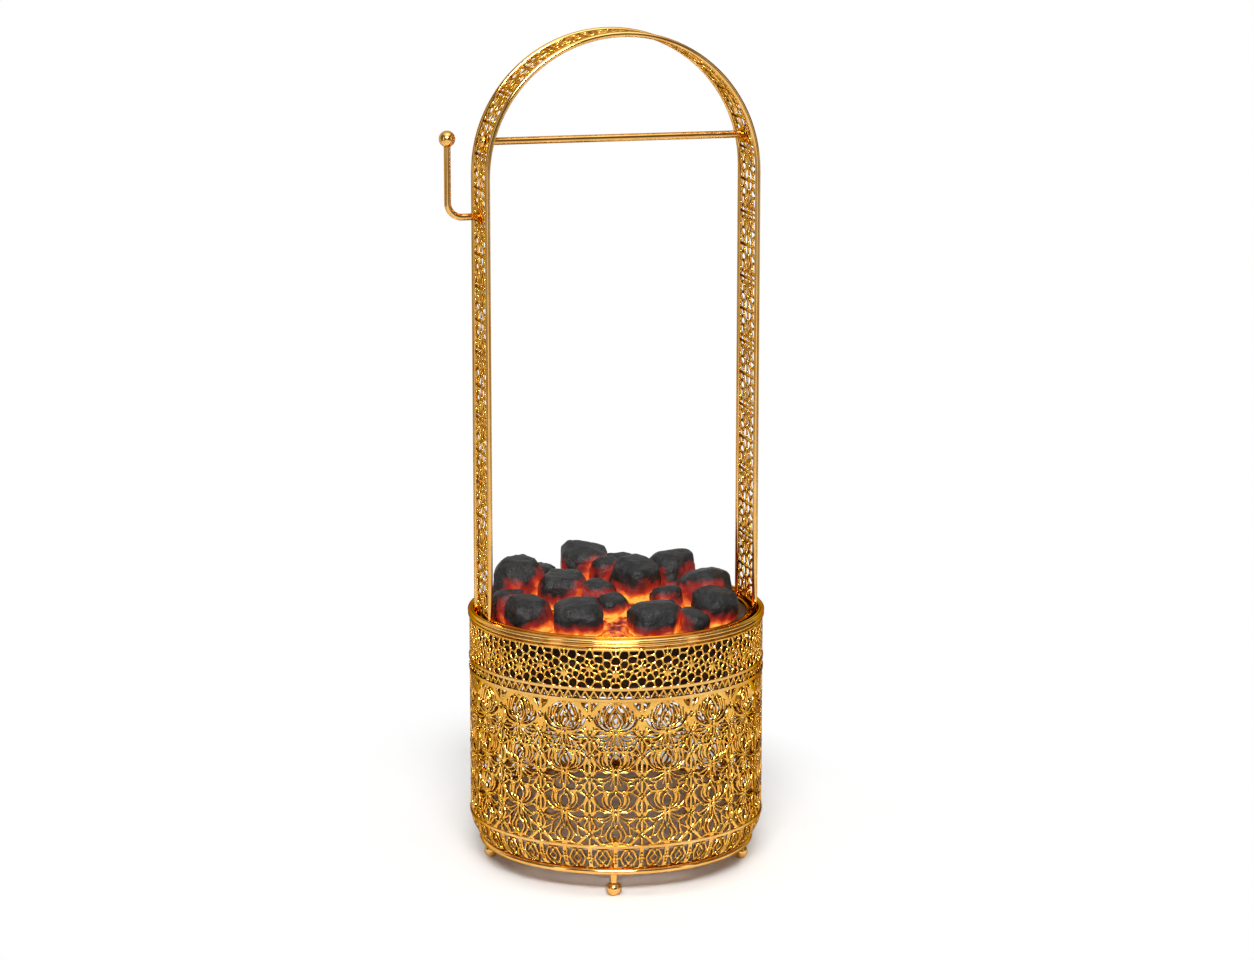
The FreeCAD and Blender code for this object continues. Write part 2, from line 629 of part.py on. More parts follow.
def make_charcoal():
    free, thick = worth("free"), worth("pan_sheet")
    seat, floor = worth(SEAT_TOP), worth(PAN_FLOOR)
    flange_top = worth(f"{PAN_FLANGE} + pan_sheet")
    neck = worth("pan_neck_radius") - thick - 2 * free
    heap, full = worth("heap_radius"), worth("lump_size")
    bowl = Part.makeCone(worth("pan_floor_radius") - thick - 2 * free, neck,
                         flange_top - floor, Vector(0, 0, floor + thick + free))
    above = Part.makeCylinder(heap, 4 * full, Vector(0, 0, flange_top + free))
    room = bowl.fuse(above)

    crown, edge = worth("ember_crown"), floor + worth("ember_edge_depth")
    dome_radius = (neck ** 2 + crown ** 2) / (2 * crown)
    dome_middle = edge + crown - dome_radius
    bed = room.common(Part.makeSphere(dome_radius, Vector(0, 0, dome_middle)))
    placed = []
    for number, (share, direction, height, scale, yaw, tilt) in enumerate(LUMPS, start=1):
        size, top = full * scale, seat + full * height
        reach = (heap - size / 2) * share
        angle = math.radians(direction)
        bed_level = dome_middle + math.sqrt(dome_radius ** 2 - reach ** 2)
        tall = top - bed_level + worth("lump_dip")
        whole = lump(size, tall, yaw, tilt)
        whole.translate(Vector(reach * math.cos(angle), reach * math.sin(angle), top))
        block = whole.common(room)
        for other in placed:
            if block.BoundBox.intersect(other.BoundBox):
                block = block.cut(other)
        block = max(block.Solids, key=lambda piece: piece.Volume)
        placed.append(grown(whole, free))
        node(fixed_shape(f"charcoal_{number:02d}", block), f"coal_{number:02d}")
    for block in placed:
        bed = bed.cut(block)
    node(fixed_shape("embers", max(bed.Solids, key=lambda piece: piece.Volume)), "ember_bed")


make_feet()
make_base()
make_wall()
make_rim()
make_arch()
make_crossbar()
make_hook()
make_pan()
make_charcoal()
doc.recompute()

for item in doc.Objects:
    faults = {"Invalid", "Error"} & set(item.State)
    if faults:
        raise RuntimeError(f"{item.Name}: {', '.join(sorted(faults))}")
for label, item in nodes.items():
    if item.Shape.isNull() or not item.Shape.isValid() or not item.Shape.Solids:
        raise RuntimeError(f"{label}: no valid solid")

os.makedirs("parts", exist_ok=True)
for label, item in nodes.items():
    item.Shape.exportStep(f"parts/{label}.step")
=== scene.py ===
import math
import random

import bmesh
import bpy
import numpy as np
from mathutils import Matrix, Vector, kdtree, noise
from mathutils.geometry import delaunay_2d_cdt


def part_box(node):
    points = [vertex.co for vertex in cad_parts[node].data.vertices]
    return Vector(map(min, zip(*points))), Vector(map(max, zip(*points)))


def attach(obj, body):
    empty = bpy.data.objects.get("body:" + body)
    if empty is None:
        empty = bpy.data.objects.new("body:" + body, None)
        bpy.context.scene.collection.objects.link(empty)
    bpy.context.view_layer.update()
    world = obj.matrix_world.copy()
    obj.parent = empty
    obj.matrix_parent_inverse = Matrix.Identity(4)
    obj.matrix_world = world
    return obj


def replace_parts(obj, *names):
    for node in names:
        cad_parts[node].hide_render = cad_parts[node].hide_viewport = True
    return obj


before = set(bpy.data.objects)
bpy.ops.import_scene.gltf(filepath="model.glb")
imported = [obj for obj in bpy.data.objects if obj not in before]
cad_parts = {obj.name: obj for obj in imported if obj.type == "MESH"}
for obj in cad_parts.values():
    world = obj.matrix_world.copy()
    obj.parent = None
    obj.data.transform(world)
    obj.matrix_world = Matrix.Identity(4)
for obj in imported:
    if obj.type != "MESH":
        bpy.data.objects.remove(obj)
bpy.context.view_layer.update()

# Charcoal basket of pierced gilt sheet with an arch handle, a tong hook and a pan of glowing lumps.
# Ornament is drawn in millimetres on the unrolled sheet: u runs along it, v across it.

MM = 0.001
SHEET = 1.3                        # thickness of the pierced wall
BEVEL = 0.36                       # width of the sloping edge along each opening
HOOP = 0.5                         # thickness of the seam hoops on the wall
BASE_WIRE = 4.0                    # thickness of the base ring
BAND = 1.0                         # thickness of the arch band
COLUMNS = 18                       # lotus columns round the wall
LOTUS_AXIS = math.radians(-5.6)    # direction of the first lotus column
CURVE_STEP = 1.55                  # distance between the points of a curve
CAP_TURNS = np.radians([35, -35])  # points of a bar's rounded end, as turns from its direction
NEAR = 0.05                        # points nearer to each other than this count as one
ON_SEAM = 0.001                    # a point this near a seam lies on it
CROSSING = 0.0001                  # tolerance for the crossings of outlines
WELD = 0.004                       # points of neighbouring tiles this near each other are joined
TINY = 1e-6                        # keeps a division by a length from failing at zero
OVERLAP = 1                        # how far bars and sheets are drawn past the sides of their tile


def span(node):
    """Lowest and highest level of a CAD node, in millimetres."""
    low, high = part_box(node)
    return low.z / MM, high.z / MM


WALL_FOOT, SEAM_LOW = span("wall_base")
SEAM_MID = span("wall_field")[1]
SEAM_TOP, RIM_SEAT = span("wall_collar")
WALL_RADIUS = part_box("seam_hoop_upper")[1].x / MM - HOOP
FOOT_TUCK = WALL_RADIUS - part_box("base_ring")[1].x / MM + BASE_WIRE / 2 - SHEET / 2
COLUMN = 2 * math.pi * WALL_RADIUS / COLUMNS
HALF = COLUMN / 2
FRIEZE = SEAM_LOW - WALL_FOOT


# Flat ornament

def smooth(points):
    """Even points along a smooth line through the given ones."""
    p = np.array(points, float)
    if len(p) == 2:
        return p
    ends = np.vstack([2 * p[0] - p[1], p, 2 * p[-1] - p[-2]])
    line = [p[0]]
    for a, b, c, d in zip(ends, ends[1:], ends[2:], ends[3:]):
        count = max(2, round(np.linalg.norm(c - b) / CURVE_STEP))
        for t in np.arange(1, count + 1) / count:
            line.append(0.5 * (2 * b + (c - a) * t + (2 * a - 5 * b + 4 * c - d) * t ** 2
                               + (3 * b - a - 3 * c + d) * t ** 3))
    return np.array(line)


def bar(points, width, tip=None):
    """Outline of a round-ended bar along a smooth line; tip is its width at the far end."""
    line = smooth(points)
    run = np.gradient(line, axis=0)
    side = np.stack([-run[:, 1], run[:, 0]], 1) / np.linalg.norm(run, axis=1)[:, None]
    half = np.linspace(width, width if tip is None else tip, len(line))[:, None] / 2
    caps = []
    for end, sign in ((-1, 1), (0, -1)):
        ahead = np.array([side[end][1], -side[end][0]]) * sign
        caps.append([line[end] + half[end] * (np.cos(turn) * ahead + np.sin(turn) * side[end] * sign)
                     for turn in CAP_TURNS])
    return np.vstack([line + side * half, caps[0], (line - side * half)[::-1], caps[1]])


def level_bar(v, width):
    """Bar across a half column of the wall."""
    return bar([(-OVERLAP, v), (HALF + OVERLAP, v)], width)


def disc(u, v, radius, count):
    """Outline of a disc with the given number of corners."""
    turns = np.arange(count) * 2 * math.pi / count
    return np.stack([u + radius * np.cos(turns), v + radius * np.sin(turns)], 1)


def wound(outline):
    """Outline in anticlockwise order."""
    u, v = np.array(outline, float).T
    area = np.sum(u * np.roll(v, -1) - v * np.roll(u, -1))
    return outline if area > 0 else outline[::-1]


def pierce(solids, holes, width, low, high):
    """Flat tile from u = 0 to width and v = low to high: the solids less the holes, as triangles."""
    sheet = [(0, low), (width, low), (width, high), (0, high)]
    points = []
    faces = []
    for outline in [sheet, *solids, *holes]:
        faces.append(list(range(len(points), len(points) + len(outline))))
        points += [Vector(p) for p in wound(outline)]
    verts, _, triangles, _, _, owners = delaunay_2d_cdt(points, [], faces, 0, CROSSING)
    # owner 0 is the sheet, then come the solids and after them the holes
    kept = [triangle for triangle, own in zip(triangles, owners)
            if 0 in own and max(own) <= len(solids) and len(own) > 1]
    used = sorted({i for triangle in kept for i in triangle})
    index = {old: new for new, old in enumerate(used)}
    flat = np.array([verts[i] for i in used])
    return flat, np.array([[index[i] for i in triangle] for triangle in kept])


# Nets of rounded openings

CELL_BOX = 9.0       # a cell reaches no further than this from its site, along u or v
NEIGHBOUR = 14.0     # only sites nearer than this bound a cell
CORNER_CUT = 0.22    # share of a side that a corner cut takes
CORNER_ROUNDS = 2    # times that the corners are cut
SCATTER = 900        # random candidates for the sites of a net
SIDE_SLACK = 0.01    # a site this far past a tile's side still counts


def clipped(cell, normal, limit):
    """Part of a convex cell on the near side of a line."""
    kept = []
    for a, b in zip(cell, cell[1:] + cell[:1]):
        past_a = a @ normal - limit
        past_b = b @ normal - limit
        if past_a <= 0:
            kept.append(a)
        if past_a * past_b < 0:
            kept.append(a + (b - a) * past_a / (past_a - past_b))
    return kept


def rounded(cell):
    """Cell with its corners cut, so that it reads as a filed opening."""
    p = np.array(cell)
    for _ in range(CORNER_ROUNDS):
        q = np.roll(p, -1, axis=0)
        p = np.stack([p + CORNER_CUT * (q - p), q + CORNER_CUT * (p - q)], 1).reshape(-1, 2)
        p = p[np.linalg.norm(p - np.roll(p, 1, axis=0), axis=1) > NEAR]
    return p


def cells(sites, width, low, high, bar_width):
    """Openings of a net, one round each site, mirrored at the tile's sides and cut at low and high."""
    sites = [np.array(site, float) for site in sites]
    around = list(sites)
    for site in sites:
        for edge in (0, width):
            around.append(np.array([2 * edge - site[0], site[1]]))
    corners = CELL_BOX * np.array([(-1, -1), (1, -1), (1, 1), (-1, 1)])
    openings = []
    for site in sites:
        cell = [site + corner for corner in corners]
        for other in around:
            away = other - site
            reach = np.linalg.norm(away)
            if NEAR < reach < NEIGHBOUR:
                halfway = (site @ away + reach ** 2 / 2) / reach
                cell = clipped(cell, away / reach, halfway - bar_width / 2)
        cell = clipped(cell, np.array([0, -1.0]), -low)
        cell = clipped(cell, np.array([0, 1.0]), high)
        if len(cell) > 2:
            openings.append(rounded(cell))
    return openings


def ring_of(u, v, radius, count, start=0.0):
    """Sites evenly round a circle, from the start angle on."""
    return [(u + radius * math.cos(a), v + radius * math.sin(a))
            for a in start + np.arange(count) * 2 * math.pi / count]


def spread(sites, candidates, gap):
    """Candidates that keep the gap from the sites and from each other, added to the sites."""
    kept = list(sites)
    for candidate in candidates:
        if all(math.dist(candidate, site) > gap for site in kept):
            kept.append(candidate)
    return kept


def net_sites(rings, width, low, high, ring_gap, scatter_gap, seed):
    """Sites of a net: first those on the rings, then scattered ones in the space left."""
    dice = random.Random(seed)
    inside = [(u, v) for u, v in rings if -SIDE_SLACK <= u <= width + SIDE_SLACK and low < v < high]
    scatter = [(dice.uniform(0, width), dice.uniform(low, high)) for _ in range(SCATTER)]
    return spread(spread([], inside, ring_gap), scatter, scatter_gap)


# Sheets wrapped from flat tiles

def new_object(name, mesh, body, slot, *finishes):
    obj = bpy.data.objects.new(name, mesh)
    bpy.context.scene.collection.objects.link(obj)
    mesh.materials.clear()
    for finish in finishes:
        mesh.materials.append(finish)
    mesh.shade_smooth()
    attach(obj, body)
    return obj


def inset(flat, rim, seams):
    """Points of a tile drawn in from its cut edges by the bevel; points on a seam stay on it."""
    run = flat[rim[:, 1]] - flat[rim[:, 0]]
    inward = np.stack([-run[:, 1], run[:, 0]], 1) / np.linalg.norm(run, axis=1)[:, None]
    shift = np.zeros_like(flat)
    np.add.at(shift, rim[:, 0], inward)
    np.add.at(shift, rim[:, 1], inward)
    length = np.linalg.norm(shift, axis=1)[:, None]
    shift = BEVEL * shift / np.maximum(length, TINY)
    for axis, value in seams:
        shift[np.abs(flat[:, axis] - value) < ON_SEAM, axis] = 0
    return flat + shift


def wrapped(name, tile, copies, place, depth, seams):
    """Mesh of mirrored copies of a tile, bent by place(u, v, depth), with sloping cut edges.

    A copy is (sign of u, sign of v, offset of u, offset of v), and a seam is (axis, value).
    The outer face, the inner face and the cut edges take the first, second and third finish."""
    flat, triangles = tile
    # an edge of one triangle only is a cut edge, unless it lies on a seam
    ways = triangles[:, [0, 1, 1, 2, 2, 0]].reshape(-1, 2)
    _, first, count = np.unique(np.sort(ways, axis=1), axis=0, return_index=True, return_counts=True)
    rim = ways[first[count == 1]]
    for axis, value in seams:
        rim = rim[~np.all(np.abs(flat[rim][:, :, axis] - value) < ON_SEAM, axis=1)]
    size = len(flat)
    layers = [(inset(flat, rim, seams), 0.0), (flat, depth)]
    a, b = rim.T
    walls = np.vstack([np.stack([b, a, a + size], 1), np.stack([b, a + size, b + size], 1)])
    faces = np.vstack([triangles, triangles[:, ::-1] + size, walls])
    finish = np.repeat([0, 1, 2], [len(triangles), len(triangles), len(walls)])
    all_points = []
    all_faces = []
    for number, (sign_u, sign_v, offset_u, offset_v) in enumerate(copies):
        for points, level in layers:
            u = offset_u + sign_u * points[:, 0]
            v = offset_v + sign_v * points[:, 1]
            all_points.append(place(u, v, level))
        turned = faces if sign_u * sign_v > 0 else faces[:, ::-1]
        all_faces.append(turned + 2 * size * number)
    mesh = bpy.data.meshes.new(name)
    mesh.from_pydata((np.vstack(all_points) * MM).tolist(), [], np.vstack(all_faces).tolist())
    mesh.polygons.foreach_set("material_index", np.tile(finish, len(copies)))
    work = bmesh.new()
    work.from_mesh(mesh)
    bmesh.ops.remove_doubles(work, verts=work.verts, dist=WELD * MM)
    loose = [v for v in work.verts if not v.link_faces]
    bmesh.ops.delete(work, geom=loose, context="VERTS")
    work.to_mesh(mesh)
    work.free()
    return mesh


def on_wall(radius_at):
    """Bending of a sheet round the basket, with its outer face at the given radius for each level."""
    def place(u, v, depth):
        turn = LOTUS_AXIS + u / WALL_RADIUS
        radius = radius_at(v) - depth
        return np.stack([radius * np.cos(turn), radius * np.sin(turn), v + 0 * u], 1)
    return place


def straight(v):
    """Radius of an upright wall."""
    return np.full_like(v, WALL_RADIUS)


def tucked(v):
    """Radius of a wall that is drawn in towards its foot."""
    return WALL_RADIUS - FOOT_TUCK * np.clip((SEAM_LOW - v) / FRIEZE, 0, 1) ** 2


def wall_sheet(name, node, tile, finishes, radius_at=straight, first=0, last=COLUMNS):
    """Strip of the wall, from the first to the last column, out of a tile half a column wide."""
    copies = [(side, 1, column * COLUMN, 0) for column in range(first, last) for side in (1, -1)]
    mesh = wrapped(name, tile, copies, on_wall(radius_at), SHEET, [(0, 0), (0, HALF)])
    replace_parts(new_object(name, mesh, "basket", "gilt", *finishes), node)


# Ornament of the wall: each outline is drawn from the middle of a column, u = 0, to its side, u = HALF

LINE = 1.6            # usual width of an ornament bar with its sloping edges
THIN = 1.3            # width of a lesser bar
ROOT = 0.95           # width of a bar where it leaves a hub
EDGE = 2.4            # width of the bars along the seams and of the round arches
ARM = 1.7             # width of the long outer arms at their ends
FIRST_HUB = 22.3      # lowest lotus hub, from the lower seam
ROW_PITCH = 25.2      # from one lotus hub to the next
HUBS = [SEAM_LOW + FIRST_HUB + ROW_PITCH * row for row in range(3)]
LINK_FIRST = -14.6    # lowest rosette of the chains, from the lowest hub
LINK_LOW = -3.6       # rosettes of the chains, from the hub beside them
LINK_HIGH = 9.8
LINK_LAST = 8.4       # topmost rosette of the chains, from the top hub
ROSETTE = 2.8         # radius of a chain's rosette, of the ring of its holes and of a hole
ROSETTE_RING = 1.4
ROSETTE_HOLE = 0.56


def moved(outlines, v):
    return [np.array(outline, float) + (0, v) for outline in outlines]


def rosette(v, holes):
    """Rosette of the chain between two columns, with a ring of small holes."""
    holes += [disc(HALF + ROSETTE_RING * math.cos(a), v + ROSETTE_RING * math.sin(a), ROSETTE_HOLE, 8)
              for a in np.radians([90, 180, 270])]
    return disc(HALF, v, ROSETTE, 18)


def chain(holes):
    """Chain of rosettes on a middle bar, with a pointed opening on each side between two of them."""
    links = [HUBS[0] + LINK_FIRST]
    for hub in HUBS:
        links += [hub + LINK_LOW, hub + LINK_HIGH]
    links[-1] = HUBS[-1] + LINK_LAST
    drawn = [rosette(v, holes) for v in links]
    drawn.append(bar([(HALF, SEAM_LOW), (HALF, SEAM_MID)], LINE))
    for low, high in zip(links, links[1:]):
        bow = [(HALF - 1.2, low + 2.0), (HALF - 3.3, (low + high) / 2), (HALF - 1.2, high - 2.0)]
        drawn.append(bar(bow, LINE))
    return drawn


def calyx(hub, holes):
    """Hub of a flower with its slit stem and the leaves that reach the chains beside it."""
    holes.append(disc(0, hub, 0.8, 10))
    holes.append(bar([(0, hub - 3.2), (0, hub - 8.0)], 0.9))
    return [disc(0, 0, 2.1, 16),
            bar([(0, 0), (0, -10.0)], 2.6),
            bar([(1.7, -0.6), (6.4, -0.7), (9.6, 0.9), (11.9, 0.2), (13.8, -2.4)], ROOT, LINE),
            bar([(1.5, -1.1), (5.0, -3.4), (8.8, -4.7), (12.4, -4.4), (HALF, -3.6)], ROOT, LINE),
            bar([(1.1, -1.6), (3.3, -4.6), (6.6, -6.6), (9.6, -6.4), (12.2, -4.4)], ROOT, LINE),
            bar([(0.6, -2.0), (2.0, -5.4), (3.0, -8.6)], ROOT, THIN)]


def lotus(hub, holes):
    """Open flower with three pairs of petals and long outer arms."""
    drawn = calyx(hub, holes)
    drawn += [bar([(0.5, 1.2), (2.5, 3.8), (3.1, 6.4), (2.0, 9.0), (0, 10.8)], ROOT, LINE),
              bar([(1.0, 1.1), (3.8, 3.2), (5.3, 6.6), (4.9, 10.0), (3.4, 12.6)], ROOT, LINE),
              bar([(1.6, 0.7), (5.3, 2.1), (8.1, 6.0), (7.8, 9.6), (6.3, 12.6)], ROOT, LINE),
              bar([(5.2, 4.6), (6.6, 8.0), (5.6, 11.4)], THIN),
              bar([(1.7, -0.2), (5.2, 0.2), (9.2, 2.2), (12.0, 5.2), (13.4, 8.2), (HALF, 9.8)], ROOT, ARM)]
    return moved(drawn, hub)


def arch_over(hub):
    """Cusped arch over a flower, tied to the leaves of the flower above it."""
    cusps = [(0, 15.4), (1.7, 13.0), (3.6, 12.4), (6.4, 12.8), (9.4, 12.4), (11.8, 10.9), (13.6, 9.8)]
    drawn = [bar(cusps, LINE),
             bar([(6.4, 12.8), (7.7, 14.8), (7.4, 17.2), (6.6, 18.8)], LINE),
             bar([(9.2, 12.6), (11.6, 14.4), (12.6, 16.6), (12.9, 18.0)], LINE),
             bar([(7.6, 15.4), (10.0, 16.6), (12.4, 16.0)], THIN),
             bar([(0, 10.6), (0, 12.6)], LINE)]
    return moved(drawn, hub)


def lattice_over(hub):
    """Close bars between the arch over a flower and the tall flower above it."""
    drawn = [bar([(3.6, 12.4), (4.9, 14.6), (4.8, 17.0), (3.6, 19.0)], THIN),
             bar([(0, 15.4), (2.6, 15.9), (4.9, 15.2), (7.4, 15.8)], THIN),
             bar([(10.0, 16.6), (10.6, 18.6), (9.4, 20.4)], THIN),
             bar([(4.6, 1.6), (8.4, 3.2), (10.4, 6.4), (10.2, 9.4), (9.2, 11.8)], ROOT, LINE)]
    return moved(drawn, hub)


def crown_lotus(hub, holes):
    """Tall flower of the upper row under a round arch, with pierced corners."""
    reach = SEAM_MID - hub
    arch_radius = 15.0
    arch_level = reach - 16.0
    turns = np.radians(np.linspace(90, -8, 16))
    arch = [(arch_radius * math.cos(t), arch_level + arch_radius * math.sin(t)) for t in turns]
    corner = [(HALF, reach), (5.0, reach), (9.6, reach - 4.0), (13.2, reach - 8.6), (HALF, reach - 11.4)]
    drawn = calyx(hub, holes)
    drawn += [bar(arch, EDGE),
              bar([(0.5, 1.2), (3.0, 4.2), (3.9, 7.4), (2.8, 11.2), (0, 15.4)], ROOT, LINE),
              bar([(0.2, 3.6), (1.7, 6.2), (1.5, 8.6), (0, 11.2)], THIN),
              bar([(1.0, 1.1), (4.6, 3.6), (6.6, 7.6), (6.0, 11.6), (3.8, 15.8)], ROOT, LINE),
              bar([(5.6, 5.2), (8.0, 9.4), (6.4, 14.4)], THIN),
              bar([(1.6, 0.7), (6.4, 2.4), (9.8, 6.6), (9.6, 10.8), (8.4, 14.6)], ROOT, LINE),
              bar([(8.6, 4.8), (11.4, 8.0), (11.0, 12.6)], THIN),
              bar([(1.7, -0.2), (6.0, 0.2), (10.4, 2.0), (13.0, 4.8), (14.4, 7.8)], ROOT, ARM),
              bar([(2.2, -1.3), (6.0, -2.1), (9.4, -2.0), (12.4, -2.8)], THIN),
              bar([(4.2, -0.4), (8.0, 0.3), (11.0, 2.6)], THIN),
              bar([(0, 14.8), (0, reach)], 1.8),
              bar([(0, 15.6), (2.0, 17.2), (4.4, 18.4)], LINE),
              np.array(corner)]
    holes.append(np.array([(HALF - 1.0, SEAM_MID - 1.8), (10.6, SEAM_MID - 1.8),
                           (12.6, SEAM_MID - 3.6), (HALF - 1.0, SEAM_MID - 7.2)]))
    return moved(drawn, hub)


def foot_branches(hub):
    """Branches under the lowest flower, down to the lower seam."""
    drawn = [bar([(0, -9.4), (2.6, -12.2), (3.3, -14.8), (2.0, -17.8), (0, -20.0)], LINE),
             bar([(3.0, -8.6), (5.0, -11.6), (6.2, -14.4), (5.4, -17.4), (1.8, -20.2)], LINE),
             bar([(6.6, -6.6), (8.2, -9.0), (10.6, -11.0), (13.2, -12.6), (HALF, -14.6)], LINE),
             bar([(8.4, -9.2), (8.6, -12.6), (9.8, -15.6), (11.6, -17.4)], THIN),
             bar([(6.2, -14.6), (8.0, -15.6), (9.6, -15.4)], THIN),
             bar([(0, -20.0), (0, -23.0)], 2.2),
             bar([(HALF, -14.6), (12.4, -17.0), (8.6, -20.8), (7.4, -23.0)], 2.6),
             bar([(0, -21.0), (4.0, -20.0), (8.4, -21.0)], THIN)]
    return moved(drawn, hub)


def field_tile():
    """Main field: three rows of flowers between chains of rosettes."""
    holes = []
    low, middle, top = HUBS
    drawn = lotus(low, holes) + lotus(middle, holes) + crown_lotus(top, holes)
    drawn += arch_over(low) + arch_over(middle) + lattice_over(middle) + foot_branches(low) + chain(holes)
    drawn += [level_bar(seam, EDGE) for seam in (SEAM_LOW, SEAM_MID)]
    return pierce(drawn, holes, HALF, SEAM_LOW, SEAM_MID)


def frieze_tile():
    """Foot frieze: dotted uprights, and between them a six-sided frame with a diamond in it."""
    middle = (WALL_FOOT + SEAM_LOW) / 2
    half = FRIEZE / 2
    centre = HALF / 2
    upright = 2.8              # width of the uprights, and pitch and radius of the dots in them
    dot_pitch = 2.3
    dot = 0.6
    frame_top = half - 2.4     # half height of the frame
    frame_side = 2.6           # half length of its level sides
    frame_waist = 5.2          # half length at its waist
    diamond_side = 2.4         # half width, half height and bar of the diamond
    diamond_top = 3.4
    diamond_bar = 1.0
    boss_level = half - 2.6    # pierced discs on the frame, from the middle
    boss = 1.7
    boss_hole = 0.7
    holes = [disc(u, middle + k * dot_pitch, dot, 8) for u in (0, HALF) for k in (-1.5, -0.5, 0.5, 1.5)]
    drawn = [bar([(u, WALL_FOOT), (u, SEAM_LOW)], upright) for u in (0, HALF)]
    for side in (-1, 1):
        waist = (centre + side * frame_waist, middle)
        inner = (centre + side * diamond_side, middle)
        drawn.append(bar([waist, (centre + side * frame_side, middle + frame_top)], LINE))
        drawn.append(bar([waist, (centre + side * frame_side, middle - frame_top)], LINE))
        drawn.append(bar([waist, (centre + side * HALF / 2, middle)], LINE))
        drawn.append(bar([inner, (centre, middle + diamond_top)], diamond_bar))
        drawn.append(bar([inner, (centre, middle - diamond_top)], diamond_bar))
    for end in (-1, 1):
        level = middle + end * frame_top
        drawn.append(bar([(centre - frame_side, level), (centre + frame_side, level)], LINE))
        drawn.append(disc(centre, middle + end * boss_level, boss, 12))
        holes.append(disc(centre, middle + end * boss_level, boss_hole, 8))
        drawn.append(level_bar(middle + end * half, EDGE))
    return pierce(drawn, holes, HALF, WALL_FOOT, SEAM_LOW)


def border_tile():
    """Narrow border: zigzag bar with three waves to the half column."""
    waves = 3
    edge = 2.0      # width of the bars along the seams
    zigzag = 1.15   # width of the zigzag bar
    low = SEAM_MID + edge / 2
    high = SEAM_TOP - edge / 2
    drawn = [level_bar(seam, edge) for seam in (SEAM_MID, SEAM_TOP)]
    step = HALF / (2 * waves)
    for k in range(2 * waves):
        start, end = (low, high) if k % 2 == 0 else (high, low)
        drawn.append(bar([(k * step, start), ((k + 1) * step, end)], zigzag))
    return pierce(drawn, [], HALF, SEAM_MID, SEAM_TOP)


def collar_tile():
    """Upper frieze: rosettes above the chains and the columns, in a net of petals."""
    low = SEAM_TOP + 1.0
    high = RIM_SEAT - 1.6
    middle = (low + high) / 2
    petals = 8
    rings = []
    for u, v in ((HALF, middle + 0.5), (0.0, middle - 3.0)):
        rings += ring_of(u, v, radius=3.4, count=petals, start=math.pi / petals)
        rings += ring_of(u, v, radius=7.6, count=petals)
    sites = net_sites(rings, HALF, low, high, ring_gap=2.6, scatter_gap=4.7, seed=11)
    holes = cells(sites, HALF, low, high, bar_width=1.4)
    sheet = [(-OVERLAP, SEAM_TOP), (HALF + OVERLAP, SEAM_TOP),
             (HALF + OVERLAP, RIM_SEAT), (-OVERLAP, RIM_SEAT)]
    return pierce([np.array(sheet)], holes, HALF, SEAM_TOP, RIM_SEAT)


# Arch band

BAND_LOW, BAND_HIGH = (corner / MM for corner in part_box("arch_band"))
BAND_RADIUS = BAND_HIGH.x
BAND_HALF = BAND_HIGH.y
SPRING = BAND_HIGH.z - BAND_RADIUS
LEG = SPRING - BAND_LOW.z
ARCH_RUN = 2 * LEG + math.pi * BAND_RADIUS
BAND_TILES = 20
BAND_SQUEEZE = 1.15   # openings are this much wider across the band than along it
BAND_EDGE = 1.4       # closed strip along each side of the band
BAND_MIDDLE = 1.2     # sites keep this far from the band's middle line
BAND_MARGIN = 0.8     # and this far from the closed strips


def on_arch(u, v, depth):
    """Bending of a strip up one leg, over the arch and down the other; u runs along it."""
    radius = BAND_RADIUS - depth
    turn = np.clip((u - LEG) / BAND_RADIUS, 0, math.pi)
    below = np.minimum(np.minimum(u, ARCH_RUN - u), LEG) - LEG
    return np.stack([-radius * np.cos(turn), v, SPRING + radius * np.sin(turn) + below], 1)


def band_tile(length):
    """Quarter of one repeat of the band: a rosette on its middle line in a net of wide petals."""
    high = BAND_HALF - BAND_EDGE
    run = length * BAND_SQUEEZE
    rings = []
    for u, v in ((0.0, 0.0), (run, high - 2.0), (0.55 * run, 3.0)):
        rings += ring_of(u, v, radius=3.9, count=6, start=0.3)
        rings += ring_of(u, v, radius=8.8, count=9, start=0.1)
    sites = net_sites(rings, run, BAND_MIDDLE, high - BAND_MARGIN, ring_gap=4.0, scatter_gap=5.8, seed=5)
    mirrored = sites + [(u, -v) for u, v in sites]
    holes = [hole / (BAND_SQUEEZE, 1) for hole in cells(mirrored, run, -high, high, bar_width=1.9)]
    sheet = [(-OVERLAP, -BAND_HALF), (length + OVERLAP, -BAND_HALF),
             (length + OVERLAP, BAND_HALF), (-OVERLAP, BAND_HALF)]
    return pierce([np.array(sheet)], holes, length, 0.0, BAND_HALF)


def make_band(finishes):
    """Pierced band of the arch, from repeats of four mirrored quarters."""
    length = ARCH_RUN / BAND_TILES / 2
    copies = [(sign_u, sign_v, 2 * length * k + (0 if sign_u > 0 else 2 * length), 0)
              for k in range(BAND_TILES) for sign_u in (1, -1) for sign_v in (1, -1)]
    seams = [(0, 0), (0, length), (1, 0)]
    mesh = wrapped("arch_band_net", band_tile(length), copies, on_arch, BAND, seams)
    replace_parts(new_object("arch_band_net", mesh, "basket", "gilt", *finishes), "arch_band")


# Rim

RIM_STEPS = 192
RIM_SLACK = 0.01   # keeps the round rim inside the box of the CAD rim
# the DARK faces, in the grooves and under the rim, take painted shade
BRIGHT = 0         # places of the two finishes in the rim's list
DARK = 1
